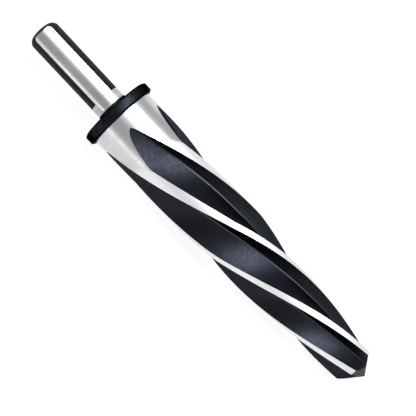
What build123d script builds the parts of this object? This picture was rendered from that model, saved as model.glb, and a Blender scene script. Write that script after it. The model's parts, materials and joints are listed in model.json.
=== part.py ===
"""Taper reamer: a left-hand spiral, right-hand cutting reamer with a three-flat shank, lying at rest.

The tool is one piece. It is turned as a blank, the shank gets three ground flats, and the body
gets spiral flutes that start just after the collar and run out over the point. The tool is built
upright, shank end at Z = 0 and point up, and is then laid down on its collar and cutting edges.
"""

import os
from math import atan2, cos, degrees, radians, sin, tan

from build123d import *

os.makedirs("parts", exist_ok=True)

# Shank
shank_diameter = 12.7
shank_length = 33.9
end_chamfer_radial = 1.5
end_chamfer_length = 2.1
end_bulge = 0.3  # how far the rounded end stands out from a straight chamfer
flat_count = 3
flat_distance = 5.2  # from the axis to a flat
flat_start = 1.2  # round rim left between the end face and a flat
flat_end_ring = 0.4  # round ring left between a flat and the hub

# Neck, hub and collar
neck_diameter = 12.6
neck_length = 4.0
hub_diameter = 13.1
hub_length = 1.6
collar_diameter = 30.7
collar_thickness = 4.25
collar_chamfer_radial = 0.9
collar_chamfer_length = 0.6

# Fluted body
body_diameter = 27.0
body_length = 63.9  # from the collar to where the taper starts
taper_length = 68.35
taper_end_diameter = 17.6
point_angle = 96.5  # included angle
point_blunt_radius = 0.3

# Flutes
flute_count = 5
helix_lead = 237.6  # axial length of one whole turn
land_width = 2.86  # along the circumference, behind each cutting edge
flute_depth_share = 0.40  # of the tool's radius at the same station
root_angle = 8.0  # from the cutting edge round to the root
face_hollow = 0.3  # hollow of the cutting face at full diameter
back_hollow = 0.35  # hollow of the flute's back at full diameter
root_rounding = 0.9
flute_clearance = 5.83  # plain body between the collar and the flutes
run_in_lift = 5.5  # how far out along its face the cutter stands where it comes in
run_in_tilt = 14.3  # how far it leans there, about the cutting edge
run_in_length = 16.0  # over which the flutes open to the heel corner
run_in_power = 1.12  # 1 for a straight run-in, more for one that flattens out
settle_length = 34.9  # over which they then reach their full depth
settle_share = 0.164  # of the radius, depth still missing at the heel corner
clocking = 2.36  # cutting edge against the first flat, at the shank end

# Lying at rest
rest_flute = 2  # which of the flutes faces the table

shank_radius = shank_diameter / 2
neck_radius = neck_diameter / 2
hub_radius = hub_diameter / 2
collar_radius = collar_diameter / 2
body_radius = body_diameter / 2
taper_end_radius = taper_end_diameter / 2

# Stations along the axis
neck_start = shank_length
hub_start = neck_start + neck_length
collar_start = hub_start + hub_length
body_start = collar_start + collar_thickness
flute_start = body_start + flute_clearance
heel_corner = flute_start + run_in_length
full_depth = heel_corner + settle_length
taper_start = body_start + body_length
taper_end = taper_start + taper_length
point_length = (taper_end_radius - point_blunt_radius) / tan(radians(point_angle / 2))
tool_length = taper_end + point_length

cutter_margin = 2.0  # how far a cutter reaches past what it cuts


def radius_at(station):
    """Radius of the ground body at a station; the taper is carried on past its end."""
    slope = (body_radius - taper_end_radius) / taper_length
    return body_radius - slope * max(0.0, station - taper_start)


def way_left(station):
    """Share of the run-in still to come at a station; over 1 before the flutes start."""
    return max(0.0, (heel_corner - station) / run_in_length)


def lift_at(station):
    """How far outwards along its face the flute's section still stands, from its full depth."""
    settle = settle_share * body_radius
    if station >= heel_corner:
        return settle * max(0.0, (full_depth - station) / settle_length)
    left = way_left(station)
    return settle + (run_in_lift - settle) * (left**run_in_power if left < 1 else left)


def turn_at(station):
    """Angle of the first cutting edge at a station, in degrees; a left-hand helix turns clockwise."""
    return clocking - 360.0 * station / helix_lead


def polar(radius, angle):
    """Point at a radius and an angle in degrees."""
    return Vector(radius * cos(radians(angle)), radius * sin(radians(angle)))


def flute_section(station):
    """Closed section of the flute's cutter at a station, with the cutting face along its own X."""
    radius = radius_at(station)
    scale = radius / body_radius
    heel_angle = 360.0 / flute_count - degrees(land_width / radius)
    edge = polar(radius, 0)
    root = polar(radius * (1 - flute_depth_share), root_angle)
    heel = polar(radius, heel_angle)
    face = (root - edge).normalized()
    back = (heel - root).normalized()
    face_middle = (edge + root) / 2 - Vector(face.Y, -face.X) * face_hollow * scale
    back_middle = (root + heel) / 2 + Vector(-back.Y, back.X) * back_hollow * scale
    beyond_edge = edge - face * cutter_margin
    beyond_heel = heel + back * cutter_margin
    reach = body_radius + 2 * cutter_margin
    outer = [polar(reach, heel_angle), polar(reach * 1.2, heel_angle / 2), Vector(reach, 0)]
    tilt = run_in_tilt * min(1.0, way_left(station))
    with BuildSketch() as section:
        with BuildLine():
            ThreePointArc(beyond_edge, face_middle, root)
            ThreePointArc(root, back_middle, beyond_heel)
            Polyline(beyond_heel, *outer, beyond_edge)
        make_face()
        fillet(section.vertices().sort_by_distance(root)[0], root_rounding * scale)
    lifted = section.sketch.face().moved(Location(-face * lift_at(station)))
    tilted = lifted.rotate(Axis(edge, (0, 0, 1)), -tilt)
    return tilted.rotate(Axis.Z, turn_at(station)).moved(Location((0, 0, station)))


def stations_between(first, last, count):
    """Evenly spaced stations, both ends included."""
    return [first + (last - first) * step / count for step in range(count + 1)]


# One flute's cutter: a section turned along the helix, in lengths that meet where its rule changes
lengths = [
    stations_between(body_start + cutter_margin, heel_corner, 8),
    stations_between(heel_corner, full_depth, 3),
    stations_between(full_depth, taper_start, 3),
    stations_between(taper_start, tool_length + cutter_margin, 10),
]
cutters = []
for stations in lengths:
    with BuildPart() as cutter:
        loft([flute_section(station) for station in stations])
    cutters.append(cutter.part)

# The blank, turned in one piece, with its flats and flutes
with BuildPart() as tool:
    with BuildSketch(Plane.XZ):
        with BuildLine():
            end_face = Line((0, 0), (shank_radius - end_chamfer_radial, 0))
            SagittaArc(end_face @ 1, (shank_radius, end_chamfer_length), -end_bulge)
            Polyline(
                (shank_radius, end_chamfer_length),
                (shank_radius, neck_start),
                (neck_radius, neck_start),
                (neck_radius, hub_start),
                (hub_radius, hub_start),
                (hub_radius, collar_start),
                (collar_radius - collar_chamfer_radial, collar_start),
                (collar_radius, collar_start + collar_chamfer_length),
                (collar_radius, body_start - collar_chamfer_length),
                (collar_radius - collar_chamfer_radial, body_start),
                (body_radius, body_start),
                (body_radius, taper_start),
                (taper_end_radius, taper_end),
                (point_blunt_radius, tool_length),
                (0, tool_length),
                (0, 0),
            )
        make_face()
    revolve(axis=Axis.Z)

    with BuildSketch(Plane.XY.offset(flat_start)):
        with PolarLocations(0, flat_count):
            with Locations((flat_distance, 0)):
                Rectangle(shank_radius, shank_diameter, align=(Align.MIN, Align.CENTER))
    extrude(amount=hub_start - flat_end_ring - flat_start, mode=Mode.SUBTRACT)

    with PolarLocations(0, flute_count):
        for cutter_length in cutters:
            add(cutter_length, mode=Mode.SUBTRACT)



def lowest_at(station, down):
    """How far the lowest land reaches below the axis at a station, with this angle turned down."""
    pitch = 360.0 / flute_count
    land = degrees(land_width / radius_at(station))
    past_edge = (turn_at(station) - down) % pitch
    from_land = min(max(0.0, past_edge - land), pitch - past_edge)
    return radius_at(station) * cos(radians(from_land))


def lean_with(down):
    """Lean at which the tool, lying on its collar with this angle down, touches with a land."""
    rim = body_start - collar_chamfer_length
    stations = stations_between(full_depth, taper_end, 200)
    return min(degrees(atan2(collar_radius - lowest_at(station, down), station - rim)) for station in stations)


# Laid down: it rolls until it leans the most, on the collar and two lands, with its lowest point at Z = 0
pitch = 360.0 / flute_count
down = max(stations_between(rest_flute * pitch, (rest_flute + 1) * pitch, 720), key=lean_with)
laid = tool.part.moved(Location((0, 0, 0), (0, 90 + lean_with(down), 0)) * Location((0, 0, 0), (0, 0, -down)))
box = laid.bounding_box()
with BuildPart() as taper_reamer:
    with Locations((-box.center().X, -box.center().Y, -box.min.Z)):
        add(laid)

taper_reamer.part.label = "taper_reamer"
export_step(taper_reamer.part, "parts/taper_reamer.step")
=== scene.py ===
"""Studio scene of a taper reamer with left-hand spiral flutes and a three-flat shank.

The tool is one piece of steel, so its meshes are joined into one closed mesh that stands for the
solid. Every shape is built in the tool's own frame, in metres: the shank end at Z = 0, the point
up, and the first flat towards +X. It is then laid down where the frame's mounts say.
"""

import json
import logging
from collections.abc import Callable, Iterable, Sequence
from dataclasses import dataclass
from enum import Enum, IntEnum
from math import acos, atan2, cos, hypot, pi, radians, sin, tan

import bmesh
import bpy
import numpy as np
from mathutils import Matrix, Vector

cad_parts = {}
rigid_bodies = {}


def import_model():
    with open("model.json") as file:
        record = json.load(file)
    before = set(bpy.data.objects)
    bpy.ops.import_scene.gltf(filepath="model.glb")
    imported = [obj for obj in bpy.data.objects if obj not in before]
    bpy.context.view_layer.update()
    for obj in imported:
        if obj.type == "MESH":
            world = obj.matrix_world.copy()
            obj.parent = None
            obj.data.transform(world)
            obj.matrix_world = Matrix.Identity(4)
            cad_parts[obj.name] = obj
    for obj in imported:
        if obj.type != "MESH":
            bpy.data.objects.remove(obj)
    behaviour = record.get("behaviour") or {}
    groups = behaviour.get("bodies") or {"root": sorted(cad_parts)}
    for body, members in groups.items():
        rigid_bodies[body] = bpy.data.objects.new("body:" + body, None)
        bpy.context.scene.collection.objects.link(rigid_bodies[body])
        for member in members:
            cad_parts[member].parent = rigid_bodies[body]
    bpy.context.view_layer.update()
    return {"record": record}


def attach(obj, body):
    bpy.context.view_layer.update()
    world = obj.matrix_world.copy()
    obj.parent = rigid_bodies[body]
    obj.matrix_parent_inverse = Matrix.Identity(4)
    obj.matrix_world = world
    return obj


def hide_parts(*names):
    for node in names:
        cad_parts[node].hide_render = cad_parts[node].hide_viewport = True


logging.basicConfig(level=logging.INFO, format="%(name)s: %(message)s")
log = logging.getLogger("reamer_scene")

BODY = "root"
NODE = "taper_reamer"

Colour = tuple[float, float, float, float]
Socket = bpy.types.NodeSocket


class Zone(IntEnum):
    """Finishes of the tool, in the order of the mesh's material slots."""

    GROUND = 0
    OXIDE = 1
    SHANK = 2
    POINT = 3
    FLAT = 4
    COLLAR = 5
    NECK = 6


Finishes = dict[Zone, bpy.types.Material]


def add_object(name: str, data: bpy.types.ID) -> bpy.types.Object:
    """Creates an object for its data and links it to the scene."""
    thing = bpy.data.objects.new(name, data)
    bpy.context.scene.collection.objects.link(thing)
    return thing


def as_mesh(
    name: str, shape: bmesh.types.BMesh, materials: Iterable[bpy.types.Material] = ()
) -> bpy.types.Mesh:
    """Turns a working shape into a mesh and frees the shape.

    Args:
        name: Name of the mesh.
        shape: The working shape.
        materials: What the mesh's material slots hold, in order.

    Returns:
        The mesh.
    """
    mesh = bpy.data.meshes.new(name)
    shape.to_mesh(mesh)
    shape.free()
    for material in materials:
        mesh.materials.append(material)
    return mesh


def with_modifiers(thing: bpy.types.Object) -> bpy.types.Mesh:
    """New mesh of an object with its modifiers applied."""
    bpy.context.view_layer.update()
    graph = bpy.context.evaluated_depsgraph_get()
    return bpy.data.meshes.new_from_object(thing.evaluated_get(graph))


def axes_at(origin: Vector, x_axis: Vector, y_axis: Vector, z_axis: Vector) -> Matrix:
    """Matrix of a frame with this origin and these axes."""
    turned = Matrix((x_axis, y_axis, z_axis)).transposed()
    return Matrix.Translation(origin) @ turned.to_4x4()


def joined(lower: Sequence, upper: Sequence, index: int, after: int) -> list:
    """Corners of a face between two rows of points, either of which may be a single point."""
    loop = (
        lower[index % len(lower)],
        lower[after % len(lower)],
        upper[after % len(upper)],
        upper[index % len(upper)],
    )
    return list(dict.fromkeys(loop))


@dataclass(frozen=True)
class ToolPlace:
    """Where the tool's own frame lies in the row frame."""

    matrix: Matrix

    @classmethod
    def from_record(cls, record: dict, shank: "Shank") -> "ToolPlace":
        """Works the place out from the mounts on the shank.

        Args:
            record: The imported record.
            shank: Sizes of the shank, because its mount is half way along it.

        Returns:
            The place of the tool's frame.
        """
        mounts = {mount["name"]: mount for mount in record["mounts"]}
        axis = -Vector(mounts["shank"]["axis"]).normalized()
        near = Vector(mounts["shank_flat_1"]["axis"])
        near = (near - axis * near.dot(axis)).normalized()
        end = Vector(mounts["shank"]["pos_m"]) - axis * shank.length / 2
        return cls(axes_at(end, near, axis.cross(near), axis))

    def point(self, x: float, y: float, z: float) -> Vector:
        """Point of the row frame for a point of the tool's frame."""
        return self.matrix @ Vector((x, y, z))

    def direction(self, x: float, y: float, z: float) -> Vector:
        """Direction in the row frame for a direction in the tool's frame."""
        return self.matrix.to_3x3() @ Vector((x, y, z))


class NodeTree:
    """Short way to add and link nodes in one tree."""

    def __init__(self, tree: bpy.types.NodeTree) -> None:
        """Keeps the tree that nodes are added to."""
        self.tree = tree

    def fill(self, node: bpy.types.Node, inputs: dict) -> None:
        """Sets a node's inputs.

        Args:
            node: The node.
            inputs: Values to set or sockets to link, by the input's name or number.
        """
        for name, value in inputs.items():
            if isinstance(value, Socket):
                self.tree.links.new(value, node.inputs[name])
            else:
                node.inputs[name].default_value = value

    def add(self, kind: str, inputs: dict | None = None, **settings: object) -> bpy.types.Node:
        """Adds a node.

        Args:
            kind: Blender's name of the node type.
            inputs: Values or sockets for the node's inputs, by name or number.
            settings: Attributes of the node itself.

        Returns:
            The new node.
        """
        node = self.tree.nodes.new(kind)
        for name, value in settings.items():
            setattr(node, name, value)
        self.fill(node, inputs or {})
        return node

    def math(self, operation: str, *values: object) -> Socket:
        """Adds a Math node and returns its output."""
        return self.add("ShaderNodeMath", dict(enumerate(values)), operation=operation).outputs[0]

    def measure(self, operation: str, *vectors: object) -> Socket:
        """Adds a Vector Math node and returns its number."""
        node = self.add("ShaderNodeVectorMath", dict(enumerate(vectors)), operation=operation)
        return node.outputs["Value"]

    def combine(self, *parts: object) -> Socket:
        """Adds a Combine XYZ node and returns its output."""
        return self.add("ShaderNodeCombineXYZ", dict(enumerate(parts))).outputs[0]

    def separate(self, vector: Socket) -> tuple[Socket, ...]:
        """Adds a Separate XYZ node and returns its three outputs."""
        return tuple(self.add("ShaderNodeSeparateXYZ", {0: vector}).outputs)

    def turned(self, vector: Socket, angle: Socket) -> Socket:
        """Turns a vector about the Z axis."""
        inputs = {"Vector": vector, "Angle": angle}
        return self.add("ShaderNodeVectorRotate", inputs, rotation_type="Z_AXIS").outputs[0]

    def ramp(self, value: Socket, low: float, high: float, *to: float) -> Socket:
        """Maps a value smoothly from one range to another, which is 0 to 1 if none is given."""
        inputs = dict(enumerate((value, low, high, *to)))
        node = self.add("ShaderNodeMapRange", inputs, interpolation_type="SMOOTHSTEP")
        return node.outputs["Result"]

    def noise(self, vector: Socket, scale: float, detail: float, roughness: float) -> Socket:
        """Adds a Noise Texture and returns its value, around 0.5."""
        inputs = {"Vector": vector, "Scale": scale, "Detail": detail, "Roughness": roughness}
        return self.add("ShaderNodeTexNoise", inputs).outputs["Fac"]

    def blend(self, factor: Socket, first: Socket | Colour, second: Socket | Colour) -> Socket:
        """Mixes two colours and returns the result."""
        inputs = {0: factor, 6: first, 7: second}
        return self.add("ShaderNodeMix", inputs, data_type="RGBA").outputs[2]


class Grain(Enum):
    """Which way a finish's fine lines run."""

    AROUND = "around the axis, as turned"
    ALONG = "along the axis, as surface ground"
    SPIRAL = "along the flutes, as milled"

    def pattern(
        self, nodes: NodeTree, local: Socket, lead: float, rows: float, along: float
    ) -> Socket:
        """Stretches the tool's coordinates so that noise on them makes lines.

        Args:
            nodes: Tree to add nodes to.
            local: Position in the tool's own frame.
            lead: Length of one turn of the flutes.
            rows: Lines in each metre across the grain.
            along: Changes in each metre along the grain.

        Returns:
            The stretched coordinates.
        """
        x, y, z = nodes.separate(local)
        scales = (rows, rows, along)
        if self is Grain.AROUND:
            z = nodes.math("ADD", z, nodes.measure("LENGTH", nodes.combine(x, y, 0.0)))
            scales = (along, along, rows)
        if self is Grain.SPIRAL:
            angle = nodes.math("MULTIPLY", z, 2 * pi / lead)
            x, y, z = nodes.separate(nodes.turned(local, angle))
        stretched = (nodes.math("MULTIPLY", *pair) for pair in zip((x, y, z), scales))
        return nodes.combine(*stretched)


@dataclass(frozen=True)
class ToolFinish:
    """What every finish of the tool shares: its name, colours, gloss and the depth of its grain."""

    LINE_NOISE = (3.0, 0.6)
    CLOUD_NOISE = (3.0, 0.55)
    LINE_WEIGHT = 0.45
    CLOUD_WEIGHT = 0.55
    COLOUR_RANGE = (0.36, 0.62)
    ROUGH_RANGE = (0.32, 0.66)

    name: str
    dark: Colour
    light: Colour
    rough_low: float
    rough_high: float
    grain_depth: float
    grain_rows: float
    grain_along: float
    cloud_scale: float
    grain_follows: Grain = Grain.AROUND
    metallic: float = 1.0
    specular: float = 0.5
    edge_tint: float = 1.0
    crown: float = 0.0
    mark: str = ""
    mark_colour: Colour = (0.0, 0.0, 0.0, 1.0)
    mark_rough: float = 0.5

    def material(self, place: ToolPlace, lead: float) -> bpy.types.Material:
        """Builds the material.

        Args:
            place: Place of the tool's frame, so that the grain follows the tool's axis.
            lead: Length of one turn of the flutes, for grain that follows them.

        Returns:
            The finished material.
        """
        material = bpy.data.materials.new(self.name)
        material.use_nodes = True
        nodes = NodeTree(material.node_tree)
        shader = material.node_tree.nodes["Principled BSDF"]
        plain = {
            "Metallic": self.metallic,
            "Specular IOR Level": self.specular,
            "Specular Tint": (self.edge_tint, self.edge_tint, self.edge_tint, 1.0),
            "Base Color": self.light,
        }
        nodes.fill(shader, plain)

        inverse = place.matrix.inverted()
        mapping = {
            "Vector": nodes.add("ShaderNodeTexCoord").outputs["Object"],
            "Location": inverse.to_translation(),
            "Rotation": inverse.to_euler(),
        }
        local = nodes.add("ShaderNodeMapping", mapping).outputs[0]
        grain = self.grain_follows.pattern(nodes, local, lead, self.grain_rows, self.grain_along)
        lines = nodes.noise(grain, 1.0, *self.LINE_NOISE)
        clouds = nodes.noise(local, self.cloud_scale, *self.CLOUD_NOISE)

        line_tone = nodes.math("MULTIPLY", lines, self.LINE_WEIGHT)
        tone = nodes.math("ADD", line_tone, nodes.math("MULTIPLY", clouds, self.CLOUD_WEIGHT))
        colour = nodes.blend(nodes.ramp(tone, *self.COLOUR_RANGE), self.dark, self.light)
        rough = nodes.ramp(tone, *self.ROUGH_RANGE, self.rough_high, self.rough_low)
        # A mark changes colour and roughness by a point attribute; on the flutes it is a painted
        # highlight along the root.
        if self.mark:
            marked = nodes.add("ShaderNodeAttribute", attribute_name=self.mark).outputs["Fac"]
            colour = nodes.blend(marked, colour, self.mark_colour)
            unmarked = nodes.math("MULTIPLY", rough, nodes.math("SUBTRACT", 1.0, marked))
            rough = nodes.math("MULTIPLY_ADD", marked, self.mark_rough, unmarked)
        relief = {"Height": lines, "Strength": 1.0, "Distance": self.grain_depth}
        if self.crown > 0:
            relief["Normal"] = self.crowned(nodes, local)
        normal = nodes.add("ShaderNodeBump", relief).outputs["Normal"]
        nodes.fill(shader, {"Base Color": colour, "Roughness": rough, "Normal": normal})
        return material

    def crowned(self, nodes: NodeTree, local: Socket) -> Socket:
        """Normal of a flat that falls away a little towards its long edges.

        Args:
            nodes: Tree to add nodes to.
            local: Position in the tool's own frame.

        Returns:
            The normal.
        """
        x, y, _ = nodes.separate(local)
        out = nodes.combine(x, y, 0.0)
        height = nodes.math("MULTIPLY", nodes.measure("DOT_PRODUCT", out, out), -1.0)
        relief = {"Height": height, "Strength": 1.0, "Distance": self.crown}
        return nodes.add("ShaderNodeBump", relief).outputs["Normal"]


GROUND_STEEL = ToolFinish(
    name="ground_steel",
    dark=(0.51, 0.51, 0.515, 1.0),
    light=(0.64, 0.64, 0.645, 1.0),
    rough_low=0.24,
    rough_high=0.34,
    grain_depth=0.000002,
    grain_rows=9000.0,
    grain_along=120.0,
    cloud_scale=110.0,
    mark="margin",
    mark_colour=(0.77, 0.77, 0.77, 1.0),
    mark_rough=0.50,
)
NECK_STEEL = ToolFinish(
    name="turned_neck",
    dark=(0.36, 0.36, 0.36, 1.0),
    light=(0.66, 0.66, 0.66, 1.0),
    rough_low=0.42,
    rough_high=0.56,
    grain_depth=0.000030,
    grain_rows=1500.0,
    grain_along=40.0,
    cloud_scale=150.0,
)
FLAT_STEEL = ToolFinish(
    name="ground_flat",
    dark=(0.50, 0.50, 0.515, 1.0),
    light=(0.68, 0.675, 0.685, 1.0),
    rough_low=0.18,
    rough_high=0.27,
    grain_depth=0.000001,
    grain_rows=7000.0,
    grain_along=60.0,
    cloud_scale=140.0,
    grain_follows=Grain.ALONG,
    crown=86.0,
)
FLUTE_OXIDE = ToolFinish(
    name="black_oxide",
    dark=(0.0142, 0.0155, 0.0200, 1.0),
    light=(0.0200, 0.0216, 0.0278, 1.0),
    rough_low=0.32,
    rough_high=0.41,
    grain_depth=0.000012,
    grain_rows=2600.0,
    grain_along=90.0,
    cloud_scale=1000.0,
    grain_follows=Grain.SPIRAL,
    edge_tint=0.62,
    # The root mark's paler colour is a painted highlight along the flute's root.
    mark="bared",
    mark_colour=(0.070, 0.072, 0.080, 1.0),
    mark_rough=0.40,
)
COLLAR_OXIDE = ToolFinish(
    name="collar_oxide",
    dark=(0.0105, 0.0116, 0.0150, 1.0),
    light=(0.0158, 0.0176, 0.0226, 1.0),
    rough_low=0.30,
    rough_high=0.39,
    grain_depth=0.000010,
    grain_rows=3200.0,
    grain_along=160.0,
    cloud_scale=520.0,
    edge_tint=0.20,
)
SHANK_OXIDE = ToolFinish(
    name="shank_oxide",
    dark=(0.007, 0.007, 0.0075, 1.0),
    light=(0.013, 0.013, 0.0145, 1.0),
    rough_low=0.50,
    rough_high=0.65,
    grain_depth=0.000010,
    grain_rows=5000.0,
    grain_along=200.0,
    cloud_scale=500.0,
    metallic=0.0,
    specular=0.10,
)
POINT_OXIDE = ToolFinish(
    name="ground_point",
    dark=(0.016, 0.016, 0.0165, 1.0),
    light=(0.030, 0.030, 0.031, 1.0),
    rough_low=0.50,
    rough_high=0.65,
    grain_depth=0.000010,
    grain_rows=5000.0,
    grain_along=300.0,
    cloud_scale=500.0,
    metallic=0.0,
    specular=0.15,
)
FINISHES = {
    Zone.GROUND: GROUND_STEEL,
    Zone.OXIDE: FLUTE_OXIDE,
    Zone.SHANK: SHANK_OXIDE,
    Zone.POINT: POINT_OXIDE,
    Zone.FLAT: FLAT_STEEL,
    Zone.COLLAR: COLLAR_OXIDE,
    Zone.NECK: NECK_STEEL,
}


def circle_through(
    first: np.ndarray, second: np.ndarray, third: np.ndarray
) -> tuple[np.ndarray, float]:
    """Circle through three points of the plane.

    Args:
        first: A point.
        second: Another point.
        third: The last point.

    Returns:
        The circle's centre and radius.
    """
    rows = 2.0 * np.array([second - first, third - first])
    right = np.array([second @ second - first @ first, third @ third - first @ first])
    centre = np.linalg.solve(rows, right)
    return centre, float(np.linalg.norm(first - centre))


def circles_cross(
    centre_a: np.ndarray, radius_a: float, centre_b: np.ndarray, radius_b: float, near: np.ndarray
) -> np.ndarray:
    """Crossing of two circles, the one nearer to a given point.

    Args:
        centre_a: Centre of the first circle.
        radius_a: Its radius.
        centre_b: Centre of the second circle.
        radius_b: Its radius.
        near: The point that picks one of the two crossings.

    Returns:
        The crossing.
    """
    apart = centre_b - centre_a
    distance = float(np.linalg.norm(apart))
    along = (distance**2 + radius_a**2 - radius_b**2) / (2 * distance)
    half = max(0.0, radius_a**2 - along**2) ** 0.5
    foot = centre_a + apart / distance * along
    across = np.array([-apart[1], apart[0]]) / distance * half
    return min(foot + across, foot - across, key=lambda point: float(np.linalg.norm(point - near)))


def polar(radius: float, angle: float) -> np.ndarray:
    """Point at a radius and an angle in radians."""
    return np.array([radius * cos(angle), radius * sin(angle)])


def limit_between(
    holds: Callable[[float], bool], inside: float, outside: float, halvings: int
) -> float:
    """Place between two others where something stops being true.

    Args:
        holds: Whether it is true at a place.
        inside: Place where it is true.
        outside: Place where it isn't.
        halvings: How often the stretch between the two is halved.

    Returns:
        The place.
    """
    for _ in range(halvings):
        middle = (inside + outside) / 2
        if holds(middle):
            inside = middle
        else:
            outside = middle
    return (inside + outside) / 2


@dataclass(frozen=True)
class Arc:
    """Part of a circle between two points."""

    centre: np.ndarray
    radius: float
    start: float
    sweep: float

    @classmethod
    def between(
        cls, centre: np.ndarray, radius: float, first: np.ndarray, last: np.ndarray
    ) -> "Arc":
        """Shorter arc of a circle from one of its points to another.

        Args:
            centre: The circle's centre.
            radius: Its radius.
            first: Point where the arc starts.
            last: Point where it ends.

        Returns:
            The arc.
        """
        start = atan2(*(first - centre)[::-1])
        sweep = (atan2(*(last - centre)[::-1]) - start + pi) % (2 * pi) - pi
        return cls(centre, radius, start, sweep)

    def points(self, shares: np.ndarray) -> np.ndarray:
        """Points at shares from 0 to 1 along the arc, one in each row."""
        angles = self.start + self.sweep * shares
        return self.centre + self.radius * np.stack([np.cos(angles), np.sin(angles)], axis=-1)


@dataclass(frozen=True)
class SectorRow:
    """Points of one flute and one land at a station, from the cutting edge on."""

    points: list[tuple[float, float, float]]
    margins: list[float]
    # Share of the painted root highlight at each point.
    bared: list[float]
    heel: int

    def strips(self, offset: int) -> tuple[list[int], list[int]]:
        """Numbers of the flute's and of the land's points, counted on from an offset."""
        numbers = list(range(offset, offset + len(self.points)))
        return numbers[: self.heel + 1], numbers[self.heel :]


@dataclass(frozen=True)
class FlutedBody:
    """Body, taper and point, with the spiral flutes cut into them."""

    SECTION_SAMPLES = 1501
    SECTION_HALVINGS = 30
    STATION_HALVINGS = 40
    FEWEST_ROWS = 4
    TIP_ROWS = 10
    RUN_IN_DENSITY = 1.8
    RUN_OUT_DENSITY = 5
    CROWDING = 1.6
    WELD = 0.000002

    start: float
    diameter: float = 0.0270
    length: float = 0.0639
    taper_length: float = 0.06835
    taper_end_diameter: float = 0.0176
    point_angle: float = radians(96.5)
    point_blunt_radius: float = 0.0003
    flute_count: int = 5
    lead: float = 0.2376
    clocking: float = radians(2.36)
    land_width: float = 0.00286
    depth_share: float = 0.40
    root_angle: float = radians(8.0)
    face_hollow: float = 0.0003
    back_hollow: float = 0.00035
    root_rounding: float = 0.0009
    flute_clearance: float = 0.00583
    run_in_lift: float = 0.0055
    run_in_tilt: float = radians(14.3)
    run_in_length: float = 0.0160
    run_in_power: float = 1.12
    settle_length: float = 0.0349
    settle_share: float = 0.164
    beyond: float = 0.0020
    margin_start: float = 0.0605
    margin_slant: float = 1.1
    margin_point: float = 0.0022
    # The root line below is a painted highlight: paler colour along the flute's root.
    root_line_lead: float = 0.0045
    root_line_start: float = 0.009
    root_line_finish: float = 0.045
    root_line_crest: float = 1.3
    root_line_fade: float = 8.0
    land_columns: int = 20
    flute_columns: int = 40
    row_length: float = 0.0007

    @property
    def pitch(self) -> float:
        """Angle from one cutting edge to the next."""
        return 2 * pi / self.flute_count

    @property
    def heel_corner(self) -> float:
        """Station where the run-in ends."""
        return self.start + self.flute_clearance + self.run_in_length

    @property
    def full_depth(self) -> float:
        """Station where the flutes reach their whole depth."""
        return self.heel_corner + self.settle_length

    @property
    def taper_start(self) -> float:
        """Station where the taper starts."""
        return self.start + self.length

    @property
    def taper_end(self) -> float:
        """Station of the shoulder between the taper and the point."""
        return self.taper_start + self.taper_length

    @property
    def end(self) -> float:
        """Station of the very tip."""
        slope = tan(self.point_angle / 2)
        return self.taper_end + (self.taper_end_diameter / 2 - self.point_blunt_radius) / slope

    def cutter_radius(self, station: float) -> float:
        """Radius that the flutes follow: the taper, carried on past its end."""
        slope = (self.diameter - self.taper_end_diameter) / 2 / self.taper_length
        return self.diameter / 2 - slope * max(0.0, station - self.taper_start)

    def blank_radius(self, station: float) -> float:
        """Radius of the turned blank at a station."""
        if station <= self.taper_end:
            return self.cutter_radius(station)
        slope = tan(self.point_angle / 2)
        return self.taper_end_diameter / 2 - (station - self.taper_end) * slope

    def way_left(self, station: float) -> float:
        """Share of the run-in still to come at a station; over 1 before the flutes start."""
        return max(0.0, (self.heel_corner - station) / self.run_in_length)

    def lift(self, station: float) -> float:
        """How far outwards along its face the cutter still stands.

        Args:
            station: Place along the axis.

        Returns:
            The distance, which is zero from the full depth on.
        """
        settle = self.settle_share * self.diameter / 2
        if station >= self.heel_corner:
            return settle * max(0.0, (self.full_depth - station) / self.settle_length)
        left = self.way_left(station)
        way = left**self.run_in_power if left < 1 else left
        return settle + (self.run_in_lift - settle) * way

    def section(self, station: float, shares: np.ndarray) -> np.ndarray:
        """Points on the cutter's section, untwisted, from its face over the root to its back.

        Args:
            station: Place along the axis.
            shares: Places along the section; its thirds are the face, the rounding and the back.

        Returns:
            One point in each row.
        """
        radius = self.cutter_radius(station)
        scale = radius / (self.diameter / 2)
        edge = polar(radius, 0.0)
        root = polar(radius * (1 - self.depth_share), self.root_angle)
        heel = polar(radius, self.pitch - self.land_width / radius)
        face = (root - edge) / np.linalg.norm(root - edge)
        back = (heel - root) / np.linalg.norm(heel - root)
        face_across = np.array([face[1], -face[0]])
        back_across = np.array([-back[1], back[0]])
        face_middle = (edge + root) / 2 - face_across * self.face_hollow * scale
        back_middle = (root + heel) / 2 + back_across * self.back_hollow * scale
        first = edge - face * self.beyond
        last = heel + back * self.beyond
        face_centre, face_radius = circle_through(first, face_middle, root)
        back_centre, back_radius = circle_through(root, back_middle, last)
        rounding = self.root_rounding * scale
        inner = face_radius - rounding, back_radius - rounding
        centre = circles_cross(face_centre, inner[0], back_centre, inner[1], root)
        leave = face_centre + (centre - face_centre) / inner[0] * face_radius
        meet = back_centre + (centre - back_centre) / inner[1] * back_radius
        pieces = (
            Arc.between(face_centre, face_radius, first, leave),
            Arc.between(centre, rounding, leave, meet),
            Arc.between(back_centre, back_radius, meet, last),
        )
        thirds = np.clip(np.floor(shares * 3), 0, 2)
        points = np.zeros((len(shares), 2))
        for index, piece in enumerate(pieces):
            chosen = thirds == index
            points[chosen] = piece.points(shares[chosen] * 3 - index)
        tilt = self.run_in_tilt * min(1.0, self.way_left(station))
        tilted = np.array([[cos(tilt), -sin(tilt)], [sin(tilt), cos(tilt)]])
        return edge + (points - face * self.lift(station) - edge) @ tilted

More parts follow.
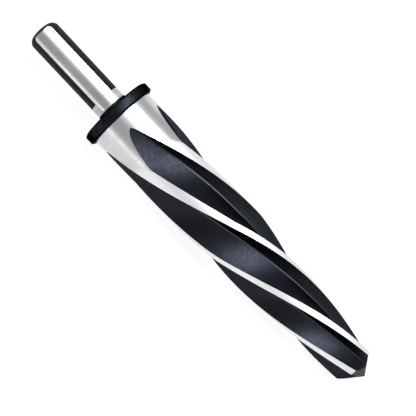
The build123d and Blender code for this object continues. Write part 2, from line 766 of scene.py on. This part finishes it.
    def within(self, station: float) -> tuple[float, float, float]:
        """Stretch of the cutter's section that lies inside the blank.

        Args:
            station: Place along the axis.

        Returns:
            The shares where it starts and ends, and how deep it reaches; below zero it misses.
        """
        blank = self.blank_radius(station)
        shares = np.linspace(0.0, 1.0, self.SECTION_SAMPLES)
        depth = blank - np.linalg.norm(self.section(station, shares), axis=1)
        deepest = int(np.argmax(depth))
        if depth[deepest] <= 0:
            return shares[deepest], shares[deepest], float(depth[deepest])

        def holds(share: float) -> bool:
            """Whether a place on the section is inside the blank."""
            return hypot(*self.section(station, np.array([share]))[0]) < blank

        inside = np.flatnonzero(depth > 0)
        crossings = []
        for low, high in ((inside[0], inside[0] - 1), (inside[-1], inside[-1] + 1)):
            crossings.append(shares[low])
            if 0 <= high < len(shares):
                ends = shares[low], shares[high]
                crossings[-1] = limit_between(holds, *ends, self.SECTION_HALVINGS)
        return crossings[0], crossings[1], float(depth[deepest])

    def touch(self, inside: float, outside: float) -> float:
        """Station between two others where the cutter just touches the blank."""
        halvings = self.STATION_HALVINGS
        return limit_between(lambda spot: self.within(spot)[2] > 0, inside, outside, halvings)

    def stations(self) -> tuple[list[float], float, float]:
        """Stations of the mesh's rows, closer together where the shape changes fast.

        Returns:
            The stations, and the two where the flutes begin and end.
        """
        first = self.touch(self.heel_corner, self.start)
        last = self.touch(self.taper_end, self.end)
        corners = [self.start, first, self.heel_corner, self.full_depth]
        corners += [self.taper_start, self.taper_end, last, self.end]
        stations = [self.start]
        for low, high in zip(corners, corners[1:]):
            count = max(self.FEWEST_ROWS, round((high - low) / self.row_length))
            if low == first:
                count = round(count * self.RUN_IN_DENSITY)
            if high == last:
                count = round(count * self.RUN_OUT_DENSITY)
            if low == last:
                count = self.TIP_ROWS
            shares = np.linspace(0.0, 1.0, count + 1)[1:]
            if low == first:
                shares = shares**self.CROWDING
            if high == last:
                shares = 1 - (1 - shares) ** self.CROWDING
            stations.extend(low + (high - low) * float(share) for share in shares)
        return stations, first, last

    def margin(self, station: float, across: float) -> float:
        """How much of the bright margin shows at a distance from a land's middle, from 0 to 1."""
        start = self.margin_start + abs(across) * self.margin_slant
        return float(np.clip((station - start) / self.margin_point, 0.0, 1.0))

    def bared(self, station: float, share: float) -> float:
        """Painted highlight along the flute's root: how much paler the flute's colour is at a
        place, from 0 to 1.

        Args:
            station: Place along the axis.
            share: Place across the cutter's section; its middle third is the root.

        Returns:
            The share of the paler colour, a painted highlight along the root.
        """
        start = (station - self.heel_corner + self.root_line_lead) / self.root_line_start
        finish = (self.end - station) / self.root_line_finish
        line = float(np.clip(min(start, finish), 0.0, 1.0))
        from_root = abs(share - 0.5) * self.root_line_fade
        return line * float(np.clip(self.root_line_crest - from_root, 0.0, 1.0))

    def row(self, station: float, first: float, last: float) -> SectorRow:
        """One row of the sector.

        Args:
            station: Place along the axis.
            first: Station where the flutes begin.
            last: Station where they end.

        Returns:
            The row; without a flute, its first point is the place where the flute closed up.
        """
        cut = first < station < last
        near = min(max(station, first), last)
        begin, finish, _ = self.within(near)
        shares = np.array([(begin + finish) / 2])
        if cut:
            shares = np.linspace(begin, finish, self.flute_columns + 1)
        flute = self.section(near, shares)
        edge_angle, heel_angle = (atan2(y, x) for x, y in (flute[0], flute[-1]))
        angles = np.linspace(heel_angle, edge_angle + self.pitch, self.land_columns + 1)
        blank = self.blank_radius(station)
        land = [(*polar(blank, angle), station) for angle in angles]
        middle = angles[-1] - self.land_width / 2 / blank
        margins = [self.margin(station, (angle - middle) * blank) for angle in angles]
        if not cut:
            return SectorRow(land, margins, [0.0] * len(land), 0)
        points = [(x, y, station) for x, y in flute] + land[1:]
        margins = [margins[-1]] + [0.0] * (self.flute_columns - 1) + margins
        # Paler colour along the root: a painted highlight.
        bared = [self.bared(station, float(share)) for share in shares]
        return SectorRow(points, margins, bared + [0.0] * self.land_columns, self.flute_columns)

    def sector(self) -> tuple[bpy.types.Mesh, np.ndarray]:
        """One flute and one land, untwisted, as rows of points along the axis.

        Returns:
            The mesh, with its zones and marks as attributes, and the angles of the first row.
        """
        stations, first, last = self.stations()
        rows = [self.row(station, first, last) for station in stations]
        points = [point for row in rows for point in row.points]
        offsets = np.cumsum([0] + [len(row.points) for row in rows])
        strips = [row.strips(int(offset)) for row, offset in zip(rows, offsets)]
        faces: list[list[int]] = []
        zones: list[int] = []
        for index, (lower, upper) in enumerate(zip(strips, strips[1:])):
            station = (stations[index] + stations[index + 1]) / 2
            blank_zone = Zone.POINT if station > self.taper_end else Zone.GROUND
            for below, above, zone in zip(lower, upper, (Zone.OXIDE, blank_zone)):
                columns = range(max(len(below), len(above)) - 1)
                faces.extend(joined(below, above, column, column + 1) for column in columns)
                zones.extend([int(zone)] * len(columns))
        mesh = bpy.data.meshes.new("flute_sector")
        mesh.from_pydata(points, [], faces)
        mesh.attributes.new("zone", "INT", "FACE").data.foreach_set("value", zones)
        # The margin mark is the lands' own ground finish; the root mark is a painted highlight.
        marks = {
            "margin": [value for row in rows for value in row.margins],
            "bared": [value for row in rows for value in row.bared],
        }
        for name, values in marks.items():
            mesh.attributes.new(name, "FLOAT", "POINT").data.foreach_set("value", values)
        return mesh, np.array([atan2(y, x) for x, y, _ in rows[0].points])

    def repeat_tree(self, finishes: Finishes) -> bpy.types.NodeTree:
        """Geometry Nodes that turn a sector along the lead and repeat it round the axis.

        Args:
            finishes: The material of each zone.

        Returns:
            The node group, with named inputs for its sizes and finishes.
        """
        tree = bpy.data.node_groups.new("spiral_flutes", "GeometryNodeTree")
        kinds = {
            "Geometry": "Geometry",
            "Flute Count": "Int",
            "Lead": "Float",
            "Clocking": "Float",
            "Weld Distance": "Float",
        }
        kinds |= {f"{zone.name.title()} Finish": "Material" for zone in finishes}
        face = tree.interface
        for name, kind in kinds.items():
            face.new_socket(name, in_out="INPUT", socket_type=f"NodeSocket{kind}")
        face.new_socket("Geometry", in_out="OUTPUT", socket_type="NodeSocketGeometry")
        nodes = NodeTree(tree)
        given = nodes.add("NodeGroupInput").outputs

        position = nodes.add("GeometryNodeInputPosition").outputs[0]
        station = nodes.separate(position)[2]
        turn = nodes.math("MULTIPLY", nodes.math("DIVIDE", station, given["Lead"]), -2 * pi)
        turn = nodes.math("ADD", turn, given["Clocking"])
        twist = {"Geometry": given["Geometry"], "Position": nodes.turned(position, turn)}
        flute = nodes.add("GeometryNodeSetPosition", twist).outputs[0]

        centres = nodes.add("GeometryNodePoints", {"Count": given["Flute Count"]}).outputs[0]
        index = nodes.add("GeometryNodeInputIndex").outputs[0]
        step = nodes.math("DIVIDE", 2 * pi, given["Flute Count"])
        turned = {"Axis": (0.0, 0.0, 1.0), "Angle": nodes.math("MULTIPLY", index, step)}
        rotation = nodes.add("FunctionNodeAxisAngleToRotation", turned).outputs[0]
        copies = {"Points": centres, "Instance": flute, "Rotation": rotation}
        repeated = nodes.add("GeometryNodeInstanceOnPoints", copies).outputs[0]
        mesh = nodes.add("GeometryNodeRealizeInstances", {"Geometry": repeated}).outputs[0]
        weld = {"Geometry": mesh, "Distance": given["Weld Distance"]}
        mesh = nodes.add("GeometryNodeMergeByDistance", weld).outputs[0]

        stored = nodes.add("GeometryNodeInputNamedAttribute", {"Name": "zone"}, data_type="INT")
        found = (socket for socket in stored.outputs if socket.enabled)
        zone_field = next(socket for socket in found if socket.name == "Attribute")
        for zone in finishes:
            match = nodes.add("FunctionNodeCompare", data_type="INT", operation="EQUAL")
            sockets = [socket for socket in match.inputs if socket.enabled]
            tree.links.new(zone_field, sockets[0])
            sockets[1].default_value = int(zone)
            finish = given[f"{zone.name.title()} Finish"]
            dressed = {"Geometry": mesh, "Selection": match.outputs[0], "Material": finish}
            mesh = nodes.add("GeometryNodeSetMaterial", dressed).outputs[0]
        nodes.add("NodeGroupOutput", {0: mesh})
        return tree

    def build(self, finishes: Finishes) -> tuple[bpy.types.Mesh, np.ndarray]:
        """Builds the fluted body as a plain mesh, open at the collar.

        Args:
            finishes: The material of each zone.

        Returns:
            The mesh and the angles of its open ring.
        """
        sector, angles = self.sector()
        piece = add_object("flute_sector", sector)
        tree = self.repeat_tree(finishes)
        modifier = piece.modifiers.new("spiral_flutes", "NODES")
        modifier.node_group = tree
        values = {
            "Flute Count": self.flute_count,
            "Lead": self.lead,
            "Clocking": self.clocking,
            "Weld Distance": self.WELD,
        }
        values |= {f"{zone.name.title()} Finish": finish for zone, finish in finishes.items()}
        for socket in tree.interface.items_tree:
            if socket.in_out == "INPUT" and socket.name in values:
                modifier[socket.identifier] = values[socket.name]
        mesh = with_modifiers(piece)
        bpy.data.objects.remove(piece)
        log.info("fluted body: %d faces", len(mesh.polygons))
        ring = np.concatenate([angles[:-1] + self.pitch * k for k in range(self.flute_count)])
        return mesh, ring + self.clocking - 2 * pi * self.start / self.lead


@dataclass(frozen=True)
class Corner:
    """A corner of a turned outline, with its rounding and the finish of the surface after it."""

    station: float
    radius: float
    rounding: float = 0.0
    zone: Zone = Zone.GROUND

    @classmethod
    def at(cls, spot: np.ndarray, zone: Zone) -> "Corner":
        """Sharp corner at a point of the outline's plane."""
        return cls(float(spot[1]), float(spot[0]), zone=zone)

    def spot(self) -> np.ndarray:
        """The corner as a point of the outline's plane."""
        return np.array([self.radius, self.station])


@dataclass(frozen=True)
class Shank:
    """Three-flat shank and the neck after it."""

    END_POINTS = 9
    CUTTER_REACH = 0.7
    BEVEL_REACH = 0.2

    diameter: float = 0.0127
    length: float = 0.0339
    end_radial: float = 0.0015
    end_length: float = 0.0021
    end_bulge: float = 0.0003
    flat_count: int = 3
    flat_distance: float = 0.0052
    flat_start: float = 0.0012
    flat_end_ring: float = 0.0004
    flat_edge: float = 0.00011
    flat_edge_angle: float = radians(27.0)
    neck_diameter: float = 0.0126
    neck_length: float = 0.0040

    @property
    def end(self) -> float:
        """Station of the hub's face."""
        return self.length + self.neck_length

    def outline(self) -> list[Corner]:
        """Corners from the middle of the end face to the hub.

        Returns:
            The corners, with the rounded end as points on its arc.
        """
        radius = self.diameter / 2
        low = np.array([radius - self.end_radial, 0.0])
        high = np.array([radius, self.end_length])
        chord = np.array([self.end_radial, self.end_length])
        outwards = np.array([chord[1], -chord[0]]) / np.linalg.norm(chord)
        bulge = low + chord / 2 + outwards * self.end_bulge
        arc = Arc.between(*circle_through(low, bulge, high), low, high)
        spots = [np.zeros(2), low, *arc.points(np.linspace(0.0, 1.0, self.END_POINTS))[1:]]
        neck_radius = self.neck_diameter / 2
        neck = [
            Corner(self.length, radius, zone=Zone.NECK),
            Corner(self.length, neck_radius, zone=Zone.NECK),
            Corner(self.end, neck_radius, zone=Zone.COLLAR),
        ]
        return [Corner.at(spot, Zone.SHANK) for spot in spots] + neck

    def flat_cutter(self, low: float, high: float) -> bmesh.types.BMesh:
        """Block that cuts the first flat and breaks its two long edges.

        Args:
            low: Station where the flat starts.
            high: Station where it ends.

        Returns:
            The block.
        """
        reach = self.diameter * self.CUTTER_REACH
        half = (self.diameter**2 / 4 - self.flat_distance**2) ** 0.5 - self.flat_edge
        slant = Vector((-sin(self.flat_edge_angle), cos(self.flat_edge_angle)))
        bevel = slant * self.diameter * self.BEVEL_REACH
        upper = [
            (self.flat_distance, half),
            (self.flat_distance + bevel.x, half + bevel.y),
            (reach, half + bevel.y),
        ]
        outline = upper + [(x, -y) for x, y in reversed(upper)]
        shape = bmesh.new()
        rings = [[shape.verts.new((x, y, station)) for x, y in outline] for station in (low, high)]
        shape.faces.new(reversed(rings[0]))
        shape.faces.new(rings[1])
        for index in range(len(outline)):
            after = (index + 1) % len(outline)
            shape.faces.new(joined(rings[0], rings[1], index, after))
        for face in shape.faces:
            broken_edge = abs(face.calc_center_median().y) > half and len(face.verts) == 4
            face.material_index = int(Zone.GROUND if broken_edge else Zone.FLAT)
        ends = [face for face in shape.faces if len(face.verts) > 4]
        bmesh.ops.triangulate(shape, faces=ends)
        bmesh.ops.recalc_face_normals(shape, faces=shape.faces)
        return shape

    def cut_flats(self, mesh: bpy.types.Mesh) -> bpy.types.Mesh:
        """Cuts the three flats into the closed shank.

        Args:
            mesh: The turned shank and neck, closed at both ends.

        Returns:
            A new mesh with the flats.
        """
        blank = add_object("shank_blank", mesh)
        cutters = []
        for index in range(self.flat_count):
            turn = Matrix.Rotation(2 * pi * index / self.flat_count, 4, "Z")
            shape = self.flat_cutter(self.flat_start, self.end - self.flat_end_ring)
            bmesh.ops.transform(shape, matrix=turn, verts=shape.verts)
            cutters.append(add_object("flat_cutter", as_mesh("flat_cutter", shape, mesh.materials)))
            cut = blank.modifiers.new("flat", "BOOLEAN")
            cut.operation = "DIFFERENCE"
            cut.solver = "EXACT"
            cut.object = cutters[-1]
        result = with_modifiers(blank)
        for thing in (*cutters, blank):
            bpy.data.objects.remove(thing)
        return result


@dataclass(frozen=True)
class Collar:
    """Hub and stop collar between the neck and the body."""

    start: float
    hub_diameter: float = 0.0131
    hub_length: float = 0.0016
    diameter: float = 0.0307
    thickness: float = 0.00425
    chamfer_radial: float = 0.0009
    chamfer_length: float = 0.0006
    edge_rounding: float = 0.00015

    @property
    def end(self) -> float:
        """Station of the collar's face on the body's side."""
        return self.start + self.hub_length + self.thickness

    def outline(self, neck_radius: float, body_radius: float) -> list[Corner]:
        """Corners from the neck to the body.

        Args:
            neck_radius: Radius where the hub's face starts.
            body_radius: Radius where the collar's far face ends.

        Returns:
            The corners, all with the collar's black oxide finish.
        """
        face = self.start + self.hub_length
        rim = self.diameter / 2
        soft = self.edge_rounding
        spots = [
            (self.start, neck_radius, 0.0),
            (self.start, self.hub_diameter / 2, soft),
            (face, self.hub_diameter / 2, 0.0),
            (face, rim - self.chamfer_radial, soft),
            (face + self.chamfer_length, rim, soft),
            (self.end - self.chamfer_length, rim, soft),
            (self.end, rim - self.chamfer_radial, soft),
            (self.end, body_radius, 0.0),
        ]
        return [Corner(*spot, Zone.COLLAR) for spot in spots]


class TurnedPart:
    """Mesh of a turned outline."""

    ROUNDING_STEPS = 4

    def __init__(self, corners: list[Corner], angles: np.ndarray) -> None:
        """Keeps the outline, rounded at its corners, and the angles of the rings' points."""
        self.angles = angles
        self.outline = self.rounded(corners)

    def rounded(self, corners: list[Corner]) -> list[Corner]:
        """Replaces each rounded corner by points on its arc.

        Args:
            corners: The corners, in order; the first and the last stay sharp.

        Returns:
            The outline.
        """
        outline: list[Corner] = []
        for index, corner in enumerate(corners):
            if corner.rounding <= 0 or index in (0, len(corners) - 1):
                outline.append(corner)
                continue
            here = corner.spot()
            before = corners[index - 1].spot() - here
            after = corners[index + 1].spot() - here
            before /= np.linalg.norm(before)
            after /= np.linalg.norm(after)
            half = acos(float(np.clip(before @ after, -1.0, 1.0))) / 2
            inwards = (before + after) / np.linalg.norm(before + after)
            centre = here + inwards * corner.rounding / sin(half)
            reach = corner.rounding / tan(half)
            arc = Arc.between(centre, corner.rounding, here + before * reach, here + after * reach)
            shares = np.linspace(0.0, 1.0, self.ROUNDING_STEPS + 1)
            for step, spot in enumerate(arc.points(shares)):
                zone = corners[index - 1].zone if step == 0 else corner.zone
                outline.append(Corner.at(spot, zone))
        return outline

    def mesh(self, name: str, finishes: Finishes, closed: bool) -> bpy.types.Mesh:
        """Revolves the outline.

        Args:
            name: Name of the mesh.
            finishes: The material of each zone.
            closed: Whether the last ring gets a flat cap.

        Returns:
            The mesh, with a material for each zone.
        """
        shape = bmesh.new()
        rings: list[list[bmesh.types.BMVert]] = []
        for corner in self.outline:
            if corner.radius <= 0:
                spots = [(0.0, 0.0)]
            else:
                spots = [polar(corner.radius, angle) for angle in self.angles]
            rings.append([shape.verts.new((x, y, corner.station)) for x, y in spots])
        count = len(self.angles)
        for corner, lower, upper in zip(self.outline, rings, rings[1:]):
            for index in range(count):
                face = shape.faces.new(joined(lower, upper, index, (index + 1) % count))
                face.material_index = int(corner.zone)
        if closed:
            shape.faces.new(rings[-1])
        bmesh.ops.recalc_face_normals(shape, faces=shape.faces)
        return as_mesh(name, shape, finishes.values())


class Reamer:
    """The whole tool: shank, collar and fluted body, joined into one closed mesh."""

    WELD = 0.000003
    SHARP_ANGLE = radians(28.0)
    CAP_CORNERS = 50
    CAP_FACING = 0.99

    def __init__(self, record: dict) -> None:
        """Sets the sub-assemblies one after another along the axis."""
        self.shank = Shank()
        self.collar = Collar(start=self.shank.end)
        self.body = FlutedBody(start=self.collar.end)
        self.place = ToolPlace.from_record(record, self.shank)
        lead = self.body.lead
        self.finishes = {zone: FINISHES[zone].material(self.place, lead) for zone in Zone}

    def shank_mesh(self, angles: np.ndarray) -> bpy.types.Mesh:
        """Shank and neck with their flats, capped at the hub until the parts are welded."""
        turned = TurnedPart(self.shank.outline(), angles).mesh("shank", self.finishes, closed=True)
        return self.shank.cut_flats(turned)

    def collar_mesh(self, angles: np.ndarray) -> bpy.types.Mesh:
        """Hub and collar, open at both ends."""
        outline = self.collar.outline(self.shank.neck_diameter / 2, self.body.diameter / 2)
        return TurnedPart(outline, angles).mesh("collar", self.finishes, closed=False)

    def add(self, shape: bmesh.types.BMesh, mesh: bpy.types.Mesh) -> None:
        """Adds a mesh to the whole shape, with its materials moved to the zones' slots.

        Args:
            shape: The whole shape.
            mesh: The mesh to add; it is removed afterwards.
        """
        order = list(self.finishes.values())
        slots = [order.index(finish) if finish in order else 0 for finish in mesh.materials]
        marks = [slots[polygon.material_index] for polygon in mesh.polygons]
        mesh.materials.clear()
        for finish in order:
            mesh.materials.append(finish)
        mesh.polygons.foreach_set("material_index", marks)
        shape.from_mesh(mesh)
        bpy.data.meshes.remove(mesh)

    def build(self) -> None:
        """Builds, dresses and places the tool, which then rides on its body."""
        body, angles = self.body.build(self.finishes)
        shape = bmesh.new()
        self.add(shape, body)
        log.info("collar and shank: %d points round", len(angles))
        self.add(shape, self.collar_mesh(angles))
        self.add(shape, self.shank_mesh(angles))
        self.close(shape)
        bmesh.ops.transform(shape, matrix=self.place.matrix, verts=shape.verts)
        triangles = len(shape.calc_loop_triangles())
        mesh = as_mesh("spiral_reamer", shape, self.finishes.values())
        piece = add_object("spiral_reamer", mesh)
        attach(piece, BODY)
        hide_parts(NODE)
        log.info("spiral_reamer: %d triangles", triangles)

    def close(self, shape: bmesh.types.BMesh) -> None:
        """Welds the parts' rings, closes the tip, and marks the sharp edges.

        Args:
            shape: The whole shape, in the tool's own frame.
        """
        caps = []
        for face in shape.faces:
            across = len(face.verts) > self.CAP_CORNERS and abs(face.normal.z) > self.CAP_FACING
            if across and abs(face.calc_center_median().z - self.shank.end) < self.WELD:
                caps.append(face)
        bmesh.ops.delete(shape, geom=caps, context="FACES_ONLY")
        bmesh.ops.remove_doubles(shape, verts=shape.verts, dist=self.WELD)
        tip = [edge for edge in shape.edges if edge.is_boundary]
        bmesh.ops.edgeloop_fill(shape, edges=tip, mat_nr=int(Zone.POINT))
        bmesh.ops.recalc_face_normals(shape, faces=shape.faces)
        for face in shape.faces:
            face.smooth = True
        for edge in shape.edges:
            if len(edge.link_faces) != 2:
                continue
            first, second = edge.link_faces
            finish_line = first.material_index != second.material_index
            edge.smooth = not (finish_line or edge.calc_face_angle(0.0) > self.SHARP_ANGLE)
        loose = [edge for edge in shape.edges if not edge.is_manifold]
        log.info("open or doubled edges: %d", len(loose))


class PhotoCamera:
    """Camera at the photograph's viewing angle."""

    SENSOR = 0.036
    MILLIMETRES = 1000
    PIXELS = 416
    FOCAL_PIXELS = 706.6
    DISTANCE = 0.274
    CLIP_START = 0.01
    CLIP_END = 20.0
    TOOL_TURN = radians(46.87)
    AXIS_LEAN = radians(5.59)
    TARGET_STATION = 0.09128
    TARGET_ACROSS = 0.00033

    def __init__(self, place: ToolPlace) -> None:
        """Works out the camera's axes from the tool's own frame.

        Args:
            place: Place of the tool's frame.
        """
        near = place.direction(1.0, 0.0, 0.0)
        axis = place.direction(0.0, 0.0, 1.0)
        across = -place.direction(0.0, 1.0, 0.0)
        along = axis * cos(self.AXIS_LEAN) + near * sin(self.AXIS_LEAN)
        back = near * cos(self.AXIS_LEAN) - axis * sin(self.AXIS_LEAN)
        self.tool_axes = (along, across, back)
        self.right = along * cos(self.TOOL_TURN) + across * sin(self.TOOL_TURN)
        self.up = across * cos(self.TOOL_TURN) - along * sin(self.TOOL_TURN)
        self.back = back
        self.target = place.point(0.0, 0.0, self.TARGET_STATION) + across * self.TARGET_ACROSS

    def build(self) -> None:
        """Creates the camera and makes it the scene's own."""
        data = bpy.data.cameras.new("photo_camera")
        data.sensor_width = self.SENSOR * self.MILLIMETRES
        data.lens = self.FOCAL_PIXELS / self.PIXELS * self.SENSOR * self.MILLIMETRES
        data.clip_start = self.CLIP_START
        data.clip_end = self.CLIP_END
        camera = add_object("photo_camera", data)
        spot = self.target + self.back * self.DISTANCE
        camera.matrix_world = axes_at(spot, self.right, self.up, self.back)
        bpy.context.scene.camera = camera


@dataclass(frozen=True)
class Softbox:
    """A soft lamp that faces the tool."""

    name: str
    towards: tuple[float, float, float]
    distance: float
    width: float
    height: float
    radiance: float
    colour: tuple[float, float, float] = (1.0, 1.0, 1.0)

    def build(self, camera: PhotoCamera) -> None:
        """Sets the lamp up.

        Args:
            camera: The camera; the lamp's direction is given in its tool axes, which run along the
                tool, across it and back to the camera.
        """
        light = bpy.data.lights.new(self.name, "AREA")
        light.shape = "RECTANGLE"
        light.size = self.width
        light.size_y = self.height
        light.energy = self.radiance * pi * self.width * self.height
        light.color = self.colour
        along, across, back = camera.tool_axes
        direction = along * self.towards[0] + across * self.towards[1] + back * self.towards[2]
        direction.normalize()
        side = (along - direction * along.dot(direction)).normalized()
        spot = camera.target + direction * self.distance
        lamp = add_object(self.name, light)
        lamp.matrix_world = axes_at(spot, side, direction.cross(side), direction)
        log.info("lamp %s", self.name)


@dataclass(frozen=True)
class DimSide:
    """A side of the studio that looks dimmer than white in reflections."""

    turn: float
    along: float
    inner: float
    outer: float
    level: float

    def share(self, nodes: NodeTree, outwards: Socket, camera: PhotoCamera) -> Socket:
        """Brightness that this side leaves, from its own level in its middle to 1 outside it.

        Args:
            nodes: Tree to add nodes to.
            outwards: Direction into the surroundings.
            camera: The camera, whose tool axes give the side's middle.

        Returns:
            The share.
        """
        along, across, back = camera.tool_axes
        level = across * sin(self.turn) + back * cos(self.turn)
        middle = level * cos(self.along) + along * sin(self.along)
        facing = nodes.measure("DOT_PRODUCT", outwards, middle)
        return nodes.ramp(facing, cos(self.outer), cos(self.inner), 1.0, self.level)


class Studio:
    """Pale floor, white surroundings and soft lamps."""

    FLOOR_SIZE = 6.0
    FLOOR_TONE = 0.80
    FLOOR_DIP = 0.60
    FLOOR_GLOW = 0.92
    AMBIENT = 0.30
    SOFTBOXES = (
        Softbox(
            name="overhead_softbox",
            towards=(0.122, 0.611, 0.782),
            distance=0.70,
            width=0.50,
            height=0.46,
            radiance=7.0,
            colour=(0.87, 0.94, 1.0),
        ),
        Softbox(
            name="low_softbox",
            towards=(0.10, -0.86, 0.50),
            distance=0.70,
            width=0.70,
            height=0.11,
            radiance=1.2,
        ),
    )
    DIM_SIDES = (
        DimSide(radians(-24.0), radians(-6.0), radians(18.0), radians(36.0), level=0.50),
        DimSide(radians(88.0), radians(4.0), radians(10.0), radians(30.0), level=0.55),
    )

    def build(self, camera: PhotoCamera) -> None:
        """Sets up the floor, the world and the lamps.

        Args:
            camera: The camera, whose axes place the lamps and the dim sides.
        """
        self.floor()
        self.world(camera)
        for softbox in self.SOFTBOXES:
            softbox.build(camera)

    def seen(self, nodes: NodeTree) -> Socket:
        """One for camera, glossy and transmission rays, and nothing for the others."""
        path = nodes.add("ShaderNodeLightPath").outputs
        shown = nodes.math("MAXIMUM", path["Is Camera Ray"], path["Is Glossy Ray"])
        return nodes.math("MAXIMUM", shown, path["Is Transmission Ray"])

    def floor(self) -> None:
        """Pale floor that is white to the camera and keeps the tool's shadow."""
        material = bpy.data.materials.new("pale_floor")
        material.use_nodes = True
        material.node_tree.nodes.clear()
        nodes = NodeTree(material.node_tree)
        shown = self.seen(nodes)
        tint = nodes.math("ADD", nodes.math("MULTIPLY", shown, -self.FLOOR_DIP), self.FLOOR_TONE)
        colour = nodes.combine(tint, tint, tint)
        matte = nodes.add("ShaderNodeBsdfDiffuse", {"Color": colour}).outputs[0]
        strength = nodes.math("MULTIPLY", shown, self.FLOOR_GLOW)
        glow = nodes.add("ShaderNodeEmission", {"Strength": strength}).outputs[0]
        both = nodes.add("ShaderNodeAddShader", {0: matte, 1: glow}).outputs[0]
        nodes.add("ShaderNodeOutputMaterial", {"Surface": both})
        shape = bmesh.new()
        bmesh.ops.create_grid(shape, x_segments=1, y_segments=1, size=self.FLOOR_SIZE / 2)
        floor = add_object("floor", as_mesh("floor", shape, [material]))

    def world(self, camera: PhotoCamera) -> None:
        """White surroundings for the camera and reflections, softer as ambient light.

        Args:
            camera: The camera, whose axes say where the dim sides are.
        """
        world = bpy.data.worlds.new("studio")
        world.use_nodes = True
        nodes = NodeTree(world.node_tree)
        shown = self.seen(nodes)
        outwards = nodes.add("ShaderNodeTexCoord").outputs["Generated"]
        level: object = 1.0
        for side in self.DIM_SIDES:
            level = nodes.math("MULTIPLY", level, side.share(nodes, outwards, camera))
        direct = nodes.add("ShaderNodeLightPath").outputs["Is Camera Ray"]
        above = nodes.math("SUBTRACT", nodes.math("MAXIMUM", direct, level), self.AMBIENT)
        strength = nodes.math("ADD", nodes.math("MULTIPLY", shown, above), self.AMBIENT)
        white = (1.0, 1.0, 1.0, 1.0)
        nodes.fill(world.node_tree.nodes["Background"], {"Color": white, "Strength": strength})
        bpy.context.scene.world = world


def main() -> None:
    """Builds the tool, the camera and the studio."""
    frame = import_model()
    reamer = Reamer(frame["record"])
    reamer.build()
    camera = PhotoCamera(reamer.place)
    camera.build()
    Studio().build(camera)
    bpy.context.scene.view_settings.view_transform = "Standard"
    log.info("finished")


if __name__ == "__main__":
    main()
